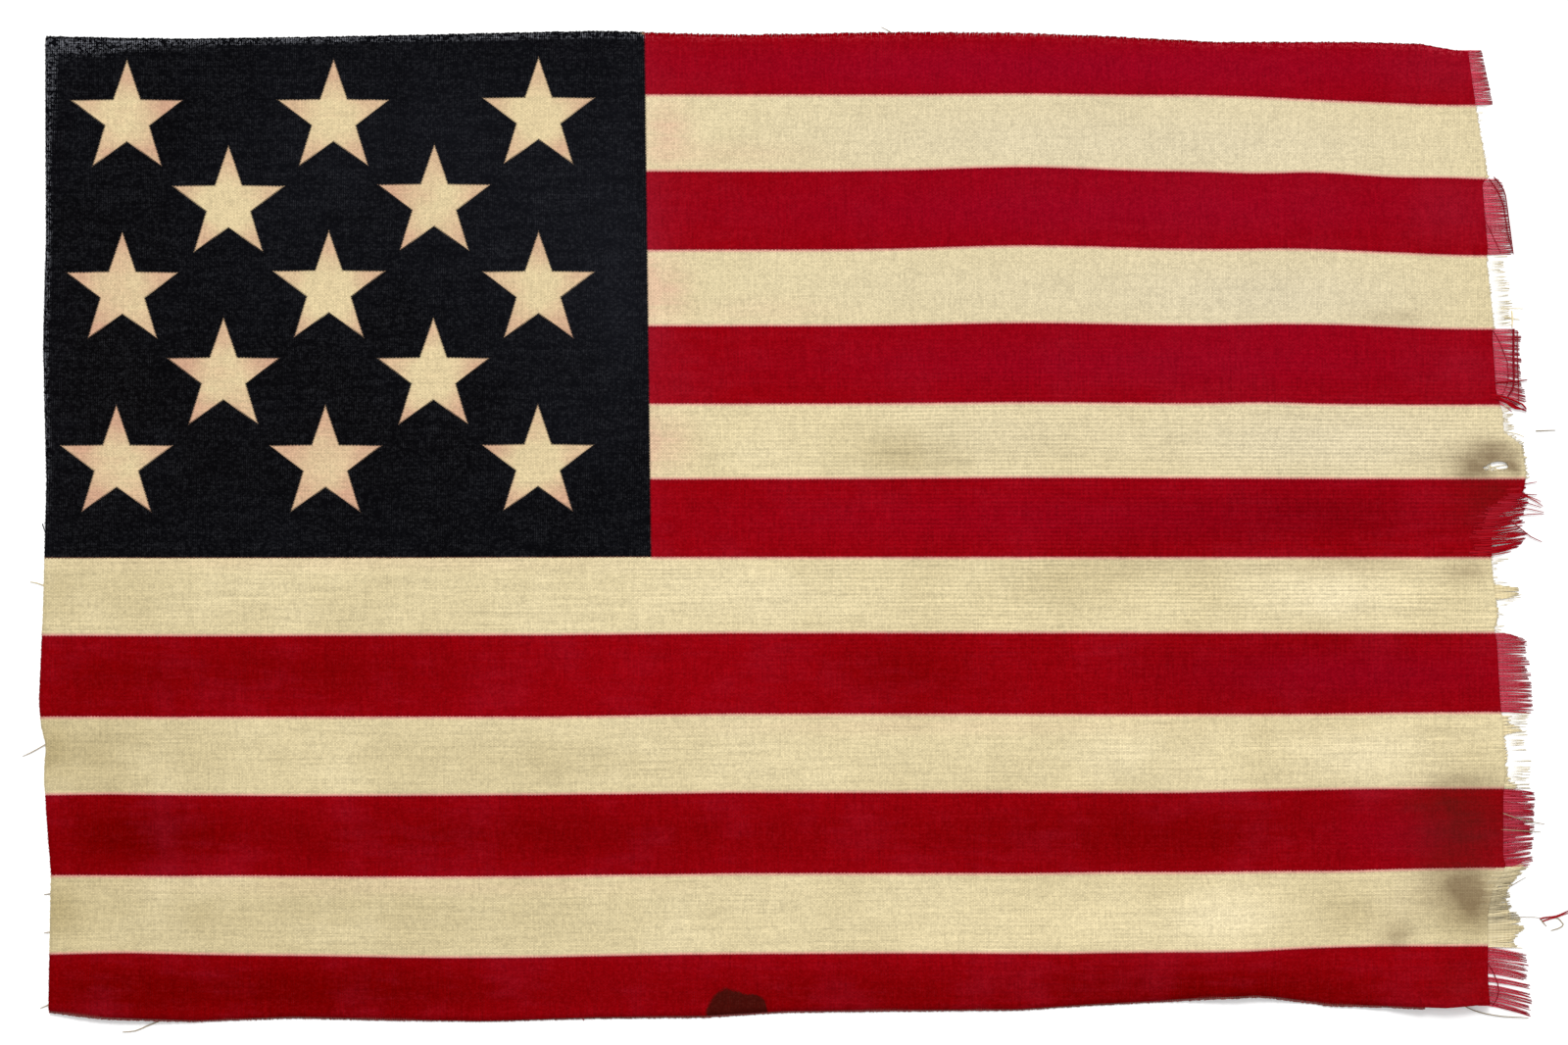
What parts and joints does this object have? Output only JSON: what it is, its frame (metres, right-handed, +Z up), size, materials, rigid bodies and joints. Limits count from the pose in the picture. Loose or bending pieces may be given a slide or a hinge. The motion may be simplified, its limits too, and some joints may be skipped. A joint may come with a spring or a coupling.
{
  "type": "tattered flag",
  "caption": "Worn cloth flag with stripes and a starred canton, cut raw on all sides, its fly edge torn into loose threads, with a small hole worn through, lying flat.",
  "frame": {"origin": "middle of the flag's box, on the surface it lies on", "axes": "+X from the hoist edge to the torn fly edge, +Y from the bottom edge to the top edge, +Z up, out of the printed face"},
  "size_m": [0.4635, 0.303, 0.0033],
  "materials": {
    "printed_bunting": "matt open-weave wool bunting, printed in red, cream and near-black navy",
    "red_weft": "matt loose wool thread, red",
    "cream_weft": "matt loose wool thread, cream"
  },
  "bodies": {
    "root": {"flag_cloth": "printed_bunting", "fly_fringe_01": "red_weft", "fly_fringe_02": "cream_weft", "fly_fringe_03": "red_weft", "fly_fringe_04": "cream_weft", "fly_fringe_05": "red_weft", "fly_fringe_06": "cream_weft", "fly_fringe_07": "red_weft", "fly_fringe_08": "cream_weft", "fly_fringe_09": "red_weft", "fly_fringe_10": "cream_weft", "fly_fringe_11": "red_weft", "fly_fringe_12": "cream_weft", "fly_fringe_13": "red_weft"}
  },
  "joints": []
}
